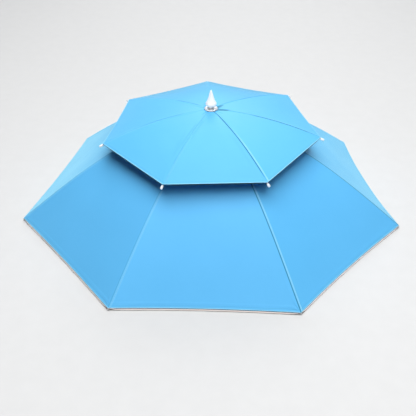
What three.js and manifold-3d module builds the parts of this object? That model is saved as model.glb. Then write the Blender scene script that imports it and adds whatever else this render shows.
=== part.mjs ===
// Umbrella hat with two cloth canopies, in millimetres, +Z up.
//
// Each canopy is sewn from seven panels. Seven long ribs spread the lower canopy from a hub on a
// short post, and seven short ribs spread the upper canopy over its vent. Stretchers run from the
// runner to the long ribs. The post stands on a crown pad, and four arms carry the headband below
// it. A finial and its washer clamp the upper cloth to the top of the post.
//
// The origin is the centre of the crown pad's flat underside. The wearer faces -Y, where the middle
// of one cloth panel is, and one long rib points to +Y.

import * as THREE from "three";
import { mergeVertices } from "three/addons/utils/BufferGeometryUtils.js";
import Module from "manifold-3d";

const wasm = await Module();
wasm.setup();

// Fits and wall
const FIT_GAP = 0.3; // between pieces that touch on the real hat
const CLOTH = 1.2;

// Lower canopy and its ribs
const RIB_COUNT = 7;
const RIM_RADIUS = 385; // axis to a corner of the lower cloth
const RIM_SLOPE = 0.784; // fall of the long ribs at the rim, as height over length
const CROWN_FLATTENING = 0.316; // how much the long ribs level out towards the hub
const VENT_RADIUS = 139; // axis to a corner of the lower cloth's vent
const HEM_DROP = 4.5; // the turned-down edge of the cloth
const LONG_RIB_RADIUS = 1.3;
const LONG_RIB_END = 3; // bare rib beyond the cloth's corner

// Upper canopy and its ribs
const HUB_SPACING = 25.8; // long ribs' line at their hub to the top of the upper cloth
const TOP_RADIUS = 214.5; // axis to a corner of the upper cloth
const TOP_DROP = 44.1; // fall from the crown to those corners
const TOP_TWIST_DEG = 4.2; // the upper ribs stand this far round from the long ones
const TOP_HEM_DROP = 3.6;
const HEM_CORNER = 0.8; // what is left of either hem's drop at a corner
const HEM_TAPER = 16; // length of edge over which the hem narrows to a corner
const SHORT_RIB_RADIUS = 1.1;

// One row for each rib and the panel that follows it counter-clockwise, from the rib at +Y.
// lowerIn and upperIn: how far the middle of the panel's lower edge is drawn in, as shares of the
// rim radius and of the top radius. upperLift: the short rib's end above the even height of all
// seven, as a share of the top drop.
const ROUND = [
  { lowerIn: 0.01, upperIn: 0.014, upperLift: 0 },
  { lowerIn: 0.009, upperIn: 0.009, upperLift: 0 },
  { lowerIn: 0.0065, upperIn: 0, upperLift: -0.02 },
  { lowerIn: 0.011, upperIn: 0, upperLift: -0.05 },
  { lowerIn: 0.014, upperIn: 0, upperLift: -0.06 },
  { lowerIn: 0.024, upperIn: 0.007, upperLift: 0.07 },
  { lowerIn: 0.01, upperIn: 0.02, upperLift: 0.06 },
];

// White sleeves on the short ribs
const TIP_RADIUS = 2.3;
const TIP_LENGTH = 8;
const TIP_BORE_DEPTH = 6;
const TIP_SETBACK = 0.8; // from the cloth's corner to the sleeve's mouth
const TIP_ROUNDING = 1.2;

// Post, hubs and runner
const POST_RADIUS = 4;
const HUB_RADIUS = 15;
const HUB_HEIGHT = 8;
const HUB_SLOT_START = 8; // axis to the inner end of each slot
const RUNNER_RADIUS = 13;
const RUNNER_HEIGHT = 12;
const RUNNER_DROP = 20; // long ribs' line at their hub to the stretchers' inner ends
const STRETCHER_RADIUS = 1.1;
const STRETCHER_REACH = 95; // axis to the clip on the long rib
const CLIP_LENGTH = 7;
const CLIP_WALL = 1.1;
const CLIP_DEPTH = 4.5; // rib's middle to the underside of the clip

// Finial and washer
const WASHER_RADIUS = 13;
const WASHER_HEIGHT = 2.4;
const FINIAL_HEIGHT = 37.5;
const FINIAL_NECK_RADIUS = 7;
const FINIAL_SKIRT_RADIUS = 11;
const FINIAL_BORE_DEPTH = 9;
// Outline above the washer: radius as a share of the skirt's, height as a share of the finial's.
const FINIAL_OUTLINE = [
  { radius: 0.74, height: 0.1 },
  { radius: 0.93, height: 0.155 },
  { radius: 1.0, height: 0.215 },
  { radius: 0.94, height: 0.27 },
  { radius: 0.69, height: 0.39 },
  { radius: 0.5, height: 0.56 },
  { radius: 0.35, height: 0.74 },
  { radius: 0.2, height: 0.89 },
  { radius: 0.08, height: 0.98 },
];

// Crown pad, arms and headband
const PAD_DROP = 40; // long ribs' line at their hub to the pad's underside
const PAD_RADIUS = 30;
const PAD_HEIGHT = 7;
const PAD_FLOOR = 3; // under the post's socket
const BOSS_RADIUS = 9;
const BOSS_HEIGHT = 4;
const ARM_COUNT = 4;
const ARM_WIDTH = 14;
const ARM_THICKNESS = 2;
const ARM_TONGUE = 8; // length of arm inside the pad
const HEAD_DEPTH = 100; // pad's underside to the headband's lower edge
const BAND_HEIGHT = 30;
const BAND_WALL = 2;
const BAND_HALF_LENGTH = 99; // inside, front to back
const BAND_HALF_WIDTH = 84; // inside, side to side
const ARM_END_MARGIN = 5; // headband's lower edge to the arm's end
const RIVET_RADIUS = 1.7;
const RIVET_HEAD_RADIUS = 3.5;
const RIVET_HEAD_HEIGHT = 1.2;

// How finely the surfaces are divided
const PANEL_COLUMNS = 6;
const LOWER_ROWS = 8;
const UPPER_ROWS = 7;
const RIB_SIDES = 6;
const LONG_RIB_STEPS = 17;
const SHORT_RIB_STEPS = 9;
const ROUND_SIDES = 24;
const TIP_SIDES = 12;
const BAND_SIDES = 24;
const ARM_BEND_POINTS = 9;
const ARM_STEPS = 14;

const PANEL_ANGLE = (2 * Math.PI) / RIB_COUNT;
const LONG_RIB_AZIMUTH = Math.PI / 2;
const SHORT_RIB_AZIMUTH = LONG_RIB_AZIMUTH + THREE.MathUtils.degToRad(TOP_TWIST_DEG);

// Heights are counted from the plane of the lower cloth's corners until the last lines.

function lowerClothHeight(radius) {
  const share = 1 - radius / RIM_RADIUS;
  return RIM_RADIUS * (RIM_SLOPE * share - CROWN_FLATTENING * share ** 3);
}

function lowerClothFall(radius) {
  return RIM_SLOPE - 3 * CROWN_FLATTENING * (1 - radius / RIM_RADIUS) ** 2;
}

const CROWN_HEIGHT = lowerClothHeight(HUB_RADIUS) + HUB_SPACING;

// The upper cloth along one short rib, whose end drops by its own amount.
function upperClothAlong(rib) {
  const drop = TOP_DROP * (1 - ROUND[rib % RIB_COUNT].upperLift);
  return {
    height: (radius) => CROWN_HEIGHT - drop * (radius / TOP_RADIUS) ** 2,
    fall: (radius) => (2 * drop * radius) / TOP_RADIUS ** 2,
  };
}

const lowerCloth = { height: lowerClothHeight, fall: lowerClothFall };
const evenUpperCloth = upperClothAlong(0);

// A point in the plane of a rib: depth below the cloth's outer face, along its normal, and reach
// beyond that point along the rib.
function underCloth(cloth, radius, depth, reach = 0) {
  const angle = Math.atan(cloth.fall(radius));
  const out = radius - depth * Math.sin(angle) + reach * Math.cos(angle);
  const up = cloth.height(radius) - depth * Math.cos(angle) - reach * Math.sin(angle);
  return new THREE.Vector3(out, 0, up);
}

const SEAM_GAP = FIT_GAP / 2 / Math.cos(PANEL_ANGLE / 2);
const LONG_RIB_DEPTH = CLOTH + FIT_GAP + LONG_RIB_RADIUS;
const SHORT_RIB_DEPTH = CLOTH + FIT_GAP + SHORT_RIB_RADIUS;
const RIB_START = HUB_SLOT_START + FIT_GAP;
const LONG_HUB_LINE = underCloth(lowerCloth, HUB_RADIUS, LONG_RIB_DEPTH).z;
const PAD_UNDERSIDE = LONG_HUB_LINE - PAD_DROP;
const BORE_RADIUS = POST_RADIUS + FIT_GAP;

// Meshes to solids and back, for cutting and joining

function toSolid(geometry) {
  const bare = geometry.index ? geometry.toNonIndexed() : geometry.clone();
  bare.deleteAttribute("normal");
  bare.deleteAttribute("uv");
  const merged = mergeVertices(bare, 1e-4);
  return new wasm.Manifold(
    new wasm.Mesh({
      numProp: 3,
      vertProperties: merged.attributes.position.array,
      triVerts: new Uint32Array(merged.index.array),
    }),
  );
}

function toGeometry(solid) {
  const mesh = solid.getMesh();
  const geometry = new THREE.BufferGeometry();
  geometry.setAttribute("position", new THREE.BufferAttribute(mesh.vertProperties, 3));
  geometry.setIndex(new THREE.BufferAttribute(mesh.triVerts, 1));
  geometry.computeVertexNormals();
  return geometry;
}

function cut(geometry, tools) {
  let solid = toSolid(geometry);
  for (const tool of tools) solid = solid.subtract(toSolid(tool));
  return toGeometry(solid);
}

// Plain shapes

// A solid of revolution about Z from [radius, height] pairs, which run upwards on the outside.
function turned(outline, sides = ROUND_SIDES) {
  const points = outline.map(([radius, height]) => new THREE.Vector2(radius, height));
  return new THREE.LatheGeometry(points, sides).rotateX(Math.PI / 2);
}

function turnedRing(outerRadius, boreRadius, bottom, top) {
  return turned([
    [boreRadius, bottom],
    [outerRadius, bottom],
    [outerRadius, top],
    [boreRadius, top],
    [boreRadius, bottom],
  ]);
}

// A box from its low corner to its high corner, turned about Z.
function boxBetween(low, high, azimuth = 0) {
  const size = high.map((value, axis) => value - low[axis]);
  const middle = high.map((value, axis) => (value + low[axis]) / 2);
  return new THREE.BoxGeometry(...size).translate(...middle).rotateZ(azimuth);
}

function polygon(radius, sides) {
  const shape = new THREE.Shape();
  for (let side = 0; side < sides; side += 1) {
    const angle = ((side + 0.5) / sides) * 2 * Math.PI;
    const point = [radius * Math.cos(angle), radius * Math.sin(angle)];
    if (side === 0) shape.moveTo(...point);
    else shape.lineTo(...point);
  }
  shape.closePath();
  return shape;
}

// A rod of a given section along points in the XZ plane.
function swept(points, section, steps) {
  const path = new THREE.CatmullRomCurve3(points, false, "centripetal");
  return new THREE.ExtrudeGeometry(section, { steps, extrudePath: path, bevelEnabled: false });
}

// Cloth

// One canopy as its sewn panels: ruled between neighbouring ribs, drawn in a little at the middle of
// each, with a turned-down hem. Row 0 is the inner edge and the last row the hem's lower edge.
function canopyPanels({ clothAlong, drawIn, innerRadius, outerRadius, hemDrop, rows, azimuth }) {
  const columns = RIB_COUNT * PANEL_COLUMNS;
  const edgeLength = 2 * outerRadius * Math.sin(PANEL_ANGLE / 2);

  function panelPoint(row, column) {
    const panel = Math.floor(column / PANEL_COLUMNS);
    const across = (column % PANEL_COLUMNS) / PANEL_COLUMNS;
    const share = Math.min(row, rows) / rows;
    const radius = THREE.MathUtils.lerp(innerRadius, outerRadius, share);
    const start = azimuth + panel * PANEL_ANGLE;
    const [near, far] = [0, 1].map((side) => {
      const angle = start + side * PANEL_ANGLE;
      const height = clothAlong(panel + side).height(radius);
      return new THREE.Vector3(radius * Math.cos(angle), radius * Math.sin(angle), height);
    });
    const point = near.lerp(far, across);
    const drawn = drawIn(panel) * 4 * across * (1 - across) * share ** 2;
    point.x -= drawn * Math.cos(start + PANEL_ANGLE / 2);
    point.y -= drawn * Math.sin(start + PANEL_ANGLE / 2);
    if (row > rows) {
      const toCorner = Math.min(across, 1 - across) * edgeLength;
      point.z -= THREE.MathUtils.lerp(HEM_CORNER, hemDrop, Math.min(1, toCorner / HEM_TAPER));
    }
    return point;
  }

  const outer = [];
  for (let row = 0; row <= rows + 1; row += 1) {
    for (let column = 0; column < columns; column += 1) outer.push(panelPoint(row, column));
  }
  const inner = insetRing(outer, rows + 2, columns);
  const panels = [];
  for (let panel = 0; panel < RIB_COUNT; panel += 1) {
    const middle = azimuth + (panel + 0.5) * PANEL_ANGLE;
    const across = new THREE.Vector3(-Math.sin(middle), Math.cos(middle), 0);
    const [face, lining] = [outer, inner].map((grid) =>
      panelGrid(grid, rows + 2, panel, across.clone().multiplyScalar(SEAM_GAP)),
    );
    panels.push(wall(face, lining, rows + 2, PANEL_COLUMNS + 1));
  }
  return panels;
}

// The same grid, which goes right round, one cloth's thickness further in along its own normals.
function insetRing(outer, rowCount, columnCount) {
  const at = (row, column) => row * columnCount + (column % columnCount);
  const faces = [];
  for (let row = 0; row + 1 < rowCount; row += 1) {
    for (let column = 0; column < columnCount; column += 1) {
      const next = at(row + 1, column + 1);
      faces.push(at(row, column), at(row + 1, column), next);
      faces.push(at(row, column), next, at(row, column + 1));
    }
  }
  const surface = new THREE.BufferGeometry().setFromPoints(outer);
  surface.setIndex(faces);
  surface.computeVertexNormals();
  return outer.map((point, index) => {
    const normal = new THREE.Vector3().fromBufferAttribute(surface.attributes.normal, index);
    return point.clone().addScaledVector(normal, -CLOTH);
  });
}

// One panel's points out of a ring's, with both of its side edges moved in by inset.
function panelGrid(grid, rowCount, panel, inset) {
  const columnCount = RIB_COUNT * PANEL_COLUMNS;
  const points = [];
  for (let row = 0; row < rowCount; row += 1) {
    for (let column = 0; column <= PANEL_COLUMNS; column += 1) {
      const index = row * columnCount + ((panel * PANEL_COLUMNS + column) % columnCount);
      const point = grid[index].clone();
      if (column === 0) point.add(inset);
      if (column === PANEL_COLUMNS) point.sub(inset);
      points.push(point);
    }
  }
  return points;
}

// A closed wall between two grids of the same size, face outside and lining inside.
function wall(face, lining, rowCount, columnCount) {
  const count = face.length;
  const at = (row, column) => row * columnCount + column;
  const triangles = [];
  const quad = (a, b, c, d) => triangles.push(a, b, c, a, c, d);
  for (let row = 0; row + 1 < rowCount; row += 1) {
    for (let column = 0; column + 1 < columnCount; column += 1) {
      const corners = [at(row, column), at(row + 1, column), at(row + 1, column + 1), at(row, column + 1)];
      quad(...corners);
      quad(...corners.map((corner) => corner + count).reverse());
    }
    const [left, lower] = [at(row, 0), at(row + 1, 0)];
    quad(left, left + count, lower + count, lower);
    const [right, under] = [at(row, columnCount - 1), at(row + 1, columnCount - 1)];
    quad(right, under, under + count, right + count);
  }
  for (let column = 0; column + 1 < columnCount; column += 1) {
    const [a, b] = [at(0, column), at(0, column + 1)];
    quad(a, b, b + count, a + count);
    const [c, d] = [at(rowCount - 1, column), at(rowCount - 1, column + 1)];
    quad(c, c + count, d + count, d);
  }
  const geometry = new THREE.BufferGeometry().setFromPoints(face.concat(lining));
  geometry.setIndex(triangles);
  geometry.computeVertexNormals();
  return geometry;
}

function lowerCanopy() {
  return canopyPanels({
    clothAlong: () => lowerCloth,
    drawIn: (panel) => ROUND[panel].lowerIn * RIM_RADIUS,
    innerRadius: VENT_RADIUS,
    outerRadius: RIM_RADIUS,
    hemDrop: HEM_DROP,
    rows: LOWER_ROWS,
    azimuth: LONG_RIB_AZIMUTH,
  });
}

function upperCanopy() {
  return canopyPanels({
    clothAlong: upperClothAlong,
    drawIn: (panel) => ROUND[panel].upperIn * TOP_RADIUS,
    innerRadius: BORE_RADIUS / Math.cos(PANEL_ANGLE / 2) + FIT_GAP,
    outerRadius: TOP_RADIUS,
    hemDrop: TOP_HEM_DROP,
    rows: UPPER_ROWS,
    azimuth: SHORT_RIB_AZIMUTH,
  });
}

// Ribs, tips and stretchers, each in the XZ plane with X outwards

function ribPoints(cloth, depth, outerRadius, steps) {
  const points = [];
  for (let step = 0; step <= steps; step += 1) {
    points.push(underCloth(cloth, THREE.MathUtils.lerp(RIB_START, outerRadius, step / steps), depth));
  }
  return points;
}

function longRib() {
  const points = ribPoints(lowerCloth, LONG_RIB_DEPTH, RIM_RADIUS, LONG_RIB_STEPS);
  points.push(underCloth(lowerCloth, RIM_RADIUS, LONG_RIB_DEPTH, LONG_RIB_END));
  return swept(points, polygon(LONG_RIB_RADIUS, RIB_SIDES), LONG_RIB_STEPS + 1);
}

function shortRib(cloth) {
  const reach = TIP_SETBACK + TIP_BORE_DEPTH - FIT_GAP;
  const points = ribPoints(cloth, SHORT_RIB_DEPTH, TOP_RADIUS, SHORT_RIB_STEPS);
  points.push(underCloth(cloth, TOP_RADIUS, SHORT_RIB_DEPTH, reach));
  return swept(points, polygon(SHORT_RIB_RADIUS, RIB_SIDES), SHORT_RIB_STEPS + 2);
}

function tipSleeve(cloth) {
  const bore = SHORT_RIB_RADIUS + FIT_GAP;
  const sleeve = turned(
    [
      [0, TIP_BORE_DEPTH],
      [bore, TIP_BORE_DEPTH],
      [bore, 0],
      [TIP_RADIUS, 0],
      [TIP_RADIUS, TIP_LENGTH - TIP_ROUNDING],
      [TIP_RADIUS - 0.3 * TIP_ROUNDING, TIP_LENGTH - 0.3 * TIP_ROUNDING],
      [TIP_RADIUS - TIP_ROUNDING, TIP_LENGTH],
      [0, TIP_LENGTH],
    ],
    TIP_SIDES,
  );
  const mouth = underCloth(cloth, TOP_RADIUS, SHORT_RIB_DEPTH, TIP_SETBACK);
  const fall = Math.atan(cloth.fall(TOP_RADIUS));
  return sleeve.rotateY(Math.PI / 2 + fall).translate(mouth.x, 0, mouth.z);
}

function stretcher() {
  const ribMiddle = underCloth(lowerCloth, STRETCHER_REACH, LONG_RIB_DEPTH);
  const fall = Math.atan(lowerClothFall(STRETCHER_REACH));
  const channel = LONG_RIB_RADIUS + FIT_GAP;
  const halfWidth = channel + CLIP_WALL;
  const place = (geometry) => geometry.rotateY(fall).translate(ribMiddle.x, 0, ribMiddle.z);
  const clip = place(
    boxBetween([-CLIP_LENGTH / 2, -halfWidth, -CLIP_DEPTH], [CLIP_LENGTH / 2, halfWidth, LONG_RIB_RADIUS]),
  );
  const trough = new THREE.CylinderGeometry(channel, channel, 2 * CLIP_LENGTH, ROUND_SIDES / 2);
  const mouth = boxBetween([-CLIP_LENGTH, -channel, 0], [CLIP_LENGTH, channel, CLIP_DEPTH]);
  const inner = new THREE.Vector3(RIB_START, 0, LONG_HUB_LINE - RUNNER_DROP);
  const seat = (CLIP_DEPTH - channel) / 2 + channel;
  const outer = new THREE.Vector3(
    ribMiddle.x - seat * Math.sin(fall),
    0,
    ribMiddle.z - seat * Math.cos(fall),
  );
  const rod = swept([inner, outer], polygon(STRETCHER_RADIUS, RIB_SIDES), 1);
  const joined = toGeometry(toSolid(clip).add(toSolid(rod)));
  return cut(joined, [place(trough.rotateZ(Math.PI / 2)), place(mouth)]);
}

// Post, hubs and finial

// A ring on the post with one slot for each rod. The slots open upwards from floorHeight.
function slottedHub(radius, bottom, top, floorHeight, rodRadius, azimuth) {
  const halfWidth = rodRadius + FIT_GAP;
  const slots = [];
  for (let rib = 0; rib < RIB_COUNT; rib += 1) {
    slots.push(
      boxBetween(
        [HUB_SLOT_START, -halfWidth, floorHeight],
        [2 * radius, halfWidth, top + FIT_GAP],
        azimuth + rib * PANEL_ANGLE,
      ),
    );
  }
  return cut(turnedRing(radius, BORE_RADIUS, bottom, top), slots);
}

function topHub() {
  const top = CROWN_HEIGHT - CLOTH - FIT_GAP - upperClothDropAtHub();
  const line = Math.min(
    underCloth(evenUpperCloth, RIB_START, SHORT_RIB_DEPTH).z,
    underCloth(evenUpperCloth, HUB_RADIUS, SHORT_RIB_DEPTH).z,
  );
  const floorHeight = line - SHORT_RIB_RADIUS - FIT_GAP;
  return slottedHub(HUB_RADIUS, top - HUB_HEIGHT, top, floorHeight, SHORT_RIB_RADIUS, SHORT_RIB_AZIMUTH);
}

// The flat panels dip below the crown by this much at the edge of the top hub.
function upperClothDropAtHub() {
  return TOP_DROP * (HUB_RADIUS / Math.cos(PANEL_ANGLE / 2) / TOP_RADIUS) ** 2;
}

function lowerHub() {
  const line = Math.min(underCloth(lowerCloth, RIB_START, LONG_RIB_DEPTH).z, LONG_HUB_LINE);
  const top = LONG_HUB_LINE + LONG_RIB_RADIUS;
  const floorHeight = line - LONG_RIB_RADIUS - FIT_GAP;
  return slottedHub(HUB_RADIUS, top - HUB_HEIGHT, top, floorHeight, LONG_RIB_RADIUS, LONG_RIB_AZIMUTH);
}

function runner() {
  const line = LONG_HUB_LINE - RUNNER_DROP;
  const floorHeight = line - STRETCHER_RADIUS - FIT_GAP;
  return slottedHub(
    RUNNER_RADIUS,
    line - RUNNER_HEIGHT / 2,
    line + RUNNER_HEIGHT / 2,
    floorHeight,
    STRETCHER_RADIUS,
    LONG_RIB_AZIMUTH,
  );
}

const WASHER_BOTTOM = CROWN_HEIGHT + FIT_GAP;
const FINIAL_BOTTOM = WASHER_BOTTOM + WASHER_HEIGHT + FIT_GAP;

function washer() {
  return turnedRing(WASHER_RADIUS, BORE_RADIUS, WASHER_BOTTOM, WASHER_BOTTOM + WASHER_HEIGHT);
}

function finial() {
  const outline = FINIAL_OUTLINE.map(({ radius, height }) => [
    radius * FINIAL_SKIRT_RADIUS,
    FINIAL_BOTTOM + height * FINIAL_HEIGHT,
  ]);
  return turned([
    [0, FINIAL_BOTTOM + FINIAL_BORE_DEPTH],
    [BORE_RADIUS, FINIAL_BOTTOM + FINIAL_BORE_DEPTH],
    [BORE_RADIUS, FINIAL_BOTTOM],
    [FINIAL_NECK_RADIUS, FINIAL_BOTTOM],
    [FINIAL_NECK_RADIUS, outline[0][1]],
    ...outline,
    [0, FINIAL_BOTTOM + FINIAL_HEIGHT],
  ]);
}

function post() {
  const bottom = PAD_UNDERSIDE + PAD_FLOOR + FIT_GAP;
  const top = FINIAL_BOTTOM + FINIAL_BORE_DEPTH - FIT_GAP;
  return turned([
    [0, bottom],
    [POST_RADIUS, bottom],
    [POST_RADIUS, top],
    [0, top],
  ]);
}

// Crown pad, arms, headband and rivets

function crownPad() {
  const top = PAD_UNDERSIDE + PAD_HEIGHT;
  const pad = turned([
    [0, PAD_UNDERSIDE],
    [PAD_RADIUS, PAD_UNDERSIDE],
    [PAD_RADIUS, top],
    [BOSS_RADIUS, top],
    [BOSS_RADIUS, top + BOSS_HEIGHT],
    [BORE_RADIUS, top + BOSS_HEIGHT],
    [BORE_RADIUS, PAD_UNDERSIDE + PAD_FLOOR],
    [0, PAD_UNDERSIDE + PAD_FLOOR],
  ]);
  const middle = PAD_UNDERSIDE + PAD_HEIGHT / 2;
  const halfWidth = ARM_WIDTH / 2 + FIT_GAP;
  const halfHeight = ARM_THICKNESS / 2 + FIT_GAP;
  const pockets = [];
  for (let arm = 0; arm < ARM_COUNT; arm += 1) {
    pockets.push(
      boxBetween(
        [PAD_RADIUS - ARM_TONGUE - FIT_GAP, -halfWidth, middle - halfHeight],
        [2 * PAD_RADIUS, halfWidth, middle + halfHeight],
        armAzimuth(arm),
      ),
    );
  }
  return cut(pad, pockets);
}

function armAzimuth(arm) {
  return (arm * 2 * Math.PI) / ARM_COUNT;
}

const BAND_BOTTOM = PAD_UNDERSIDE - HEAD_DEPTH;
const RIVET_HEIGHT = BAND_BOTTOM + BAND_HEIGHT / 2;

// Even arms reach the sides of the headband, odd ones its front and back.
function bandOutside(arm) {
  return (arm % 2 ? BAND_HALF_LENGTH : BAND_HALF_WIDTH) + BAND_WALL;
}

function headArm(arm) {
  const pocketMiddle = PAD_UNDERSIDE + PAD_HEIGHT / 2;
  const upright = bandOutside(arm) + FIT_GAP + ARM_THICKNESS / 2;
  const shoulder = BAND_BOTTOM + BAND_HEIGHT;
  const points = [new THREE.Vector3(PAD_RADIUS - ARM_TONGUE, 0, pocketMiddle)];
  for (let bend = 0; bend <= ARM_BEND_POINTS; bend += 1) {
    const turn = (bend / ARM_BEND_POINTS) * (Math.PI / 2);
    const out = PAD_RADIUS + (upright - PAD_RADIUS) * Math.sin(turn);
    const up = shoulder + (pocketMiddle - shoulder) * Math.cos(turn);
    points.push(new THREE.Vector3(out, 0, up));
  }
  points.push(new THREE.Vector3(upright, 0, BAND_BOTTOM + ARM_END_MARGIN));
  const section = new THREE.Shape();
  section.moveTo(-ARM_WIDTH / 2, -ARM_THICKNESS / 2);
  section.lineTo(ARM_WIDTH / 2, -ARM_THICKNESS / 2);
  section.lineTo(ARM_WIDTH / 2, ARM_THICKNESS / 2);
  section.lineTo(-ARM_WIDTH / 2, ARM_THICKNESS / 2);
  section.closePath();
  return cut(swept(points, section, ARM_STEPS), [rivetHole(arm)]);
}

function rivetHole(arm) {
  const radius = RIVET_RADIUS + FIT_GAP;
  const length = 4 * (BAND_WALL + ARM_THICKNESS);
  const hole = new THREE.CylinderGeometry(radius, radius, length, TIP_SIDES).rotateZ(Math.PI / 2);
  return hole.translate(bandOutside(arm), 0, RIVET_HEIGHT);
}

function headband() {
  const outside = new THREE.Shape().absellipse(
    0,
    0,
    BAND_HALF_WIDTH + BAND_WALL,
    BAND_HALF_LENGTH + BAND_WALL,
    0,
    2 * Math.PI,
  );
  outside.holes.push(
    new THREE.Path().absellipse(0, 0, BAND_HALF_WIDTH, BAND_HALF_LENGTH, 0, 2 * Math.PI, true),
  );
  const band = new THREE.ExtrudeGeometry(outside, {
    depth: BAND_HEIGHT,
    curveSegments: BAND_SIDES,
    bevelEnabled: false,
  }).translate(0, 0, BAND_BOTTOM);
  const holes = [];
  for (let arm = 0; arm < ARM_COUNT; arm += 1) holes.push(rivetHole(arm).rotateZ(armAzimuth(arm)));
  return cut(band, holes);
}

function armRivet(arm) {
  const inside = bandOutside(arm) - BAND_WALL - FIT_GAP;
  const outside = bandOutside(arm) + FIT_GAP + ARM_THICKNESS + FIT_GAP;
  const rivet = turned(
    [
      [0, inside - RIVET_HEAD_HEIGHT],
      [RIVET_HEAD_RADIUS, inside - RIVET_HEAD_HEIGHT],
      [RIVET_HEAD_RADIUS, inside],
      [RIVET_RADIUS, inside],
      [RIVET_RADIUS, outside],
      [RIVET_HEAD_RADIUS, outside],
      [RIVET_HEAD_RADIUS, outside + RIVET_HEAD_HEIGHT],
      [0, outside + RIVET_HEAD_HEIGHT],
    ],
    TIP_SIDES,
  );
  return rivet.rotateY(Math.PI / 2).translate(0, 0, RIVET_HEIGHT);
}

// Assembly

const clothBlue = new THREE.MeshStandardMaterial({ color: 0x5fb8f2, roughness: 0.6, side: THREE.DoubleSide });
const whitePlastic = new THREE.MeshStandardMaterial({ color: 0xf2f2f0, roughness: 0.35 });
const blackPlastic = new THREE.MeshStandardMaterial({ color: 0x1d1f22, roughness: 0.5 });
const platedSteel = new THREE.MeshStandardMaterial({ color: 0xb9bcc0, roughness: 0.35, metalness: 0.9 });

const hat = new THREE.Group();
hat.position.z = -PAD_UNDERSIDE;

function place(name, geometry, material, azimuth = 0) {
  const mesh = new THREE.Mesh(geometry, material);
  mesh.name = name;
  mesh.rotation.z = azimuth;
  hat.add(mesh);
}

lowerCanopy().forEach((panel, index) => place(`lower_panel_${index + 1}`, panel, clothBlue));
upperCanopy().forEach((panel, index) => place(`upper_panel_${index + 1}`, panel, clothBlue));
const longRibShape = longRib();
const stretcherShape = stretcher();
for (let rib = 0; rib < RIB_COUNT; rib += 1) {
  const longAzimuth = LONG_RIB_AZIMUTH + rib * PANEL_ANGLE;
  const shortAzimuth = SHORT_RIB_AZIMUTH + rib * PANEL_ANGLE;
  const cloth = upperClothAlong(rib);
  place(`long_rib_${rib + 1}`, longRibShape, platedSteel, longAzimuth);
  place(`stretcher_${rib + 1}`, stretcherShape, platedSteel, longAzimuth);
  place(`short_rib_${rib + 1}`, shortRib(cloth), platedSteel, shortAzimuth);
  place(`rib_tip_${rib + 1}`, tipSleeve(cloth), whitePlastic, shortAzimuth);
}
place("finial", finial(), whitePlastic);
place("finial_washer", washer(), whitePlastic);
place("post", post(), platedSteel);
place("top_hub", topHub(), whitePlastic);
place("lower_hub", lowerHub(), whitePlastic);
place("runner", runner(), whitePlastic);
place("crown_pad", crownPad(), blackPlastic);
place("headband", headband(), blackPlastic);
for (let arm = 0; arm < ARM_COUNT; arm += 1) {
  place(`head_arm_${arm + 1}`, headArm(arm), blackPlastic, armAzimuth(arm));
  place(`arm_rivet_${arm + 1}`, armRivet(arm), platedSteel, armAzimuth(arm));
}

const part = new THREE.Group();
part.add(hat);

export default part;
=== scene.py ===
import math

import bpy
import numpy as np
from mathutils import Matrix, Vector


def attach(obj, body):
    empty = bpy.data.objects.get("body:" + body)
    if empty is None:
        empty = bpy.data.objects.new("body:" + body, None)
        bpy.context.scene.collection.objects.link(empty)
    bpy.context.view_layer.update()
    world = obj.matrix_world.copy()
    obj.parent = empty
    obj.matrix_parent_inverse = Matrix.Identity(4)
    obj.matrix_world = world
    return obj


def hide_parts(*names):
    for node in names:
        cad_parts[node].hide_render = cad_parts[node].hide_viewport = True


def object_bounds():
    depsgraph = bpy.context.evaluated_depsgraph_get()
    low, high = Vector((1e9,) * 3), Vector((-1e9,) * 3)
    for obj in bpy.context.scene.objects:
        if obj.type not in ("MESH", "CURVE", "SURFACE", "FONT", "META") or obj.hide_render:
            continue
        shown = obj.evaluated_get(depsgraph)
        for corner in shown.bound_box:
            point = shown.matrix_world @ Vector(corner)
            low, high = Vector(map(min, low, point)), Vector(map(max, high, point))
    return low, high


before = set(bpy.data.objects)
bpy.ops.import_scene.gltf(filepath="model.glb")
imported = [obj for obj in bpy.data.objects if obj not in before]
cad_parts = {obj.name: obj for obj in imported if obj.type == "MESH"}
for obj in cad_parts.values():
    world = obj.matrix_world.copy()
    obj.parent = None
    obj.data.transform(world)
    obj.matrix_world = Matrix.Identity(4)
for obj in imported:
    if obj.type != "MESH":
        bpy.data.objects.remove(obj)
cad_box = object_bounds()

MM = 0.001

# Sizes of the solids in mm. Heights are above the plane of the lower cloth's corners.
FIT_GAP = 0.3
CLOTH = 1.2
RIB_COUNT = 7
RIM_RADIUS = 385.0
RIM_SLOPE = 0.784
CROWN_FLATTENING = 0.316
VENT_RADIUS = 139.0
HEM_DROP = 4.5
LONG_RIB_RADIUS = 1.3
LONG_RIB_END = 3.0
HUB_SPACING = 25.8
TOP_RADIUS = 214.5
TOP_DROP = 44.1
TOP_TWIST_DEG = 4.2
TOP_HEM_DROP = 3.6
HEM_CORNER = 0.8
HEM_TAPER = 16.0
SHORT_RIB_RADIUS = 1.1
TIP_RADIUS = 2.3
TIP_LENGTH = 8.0
TIP_SETBACK = 0.8
TIP_REACH = 5.5  # how far a short rib runs into its sleeve
POST_RADIUS = 4.0
HUB_RADIUS = 15.0
HUB_SLOT_START = 8.0
PAD_DROP = 40.0
WASHER_RADIUS = 13.0
WASHER_HEIGHT = 2.4
FINIAL_HEIGHT = 37.5
FINIAL_NECK_RADIUS = 7.0
FINIAL_SKIRT_RADIUS = 11.0

PANEL_ANGLE = 2 * math.pi / RIB_COUNT
LONG_AZIMUTH = math.pi / 2
SHORT_AZIMUTH = LONG_AZIMUTH + math.radians(TOP_TWIST_DEG)

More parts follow.
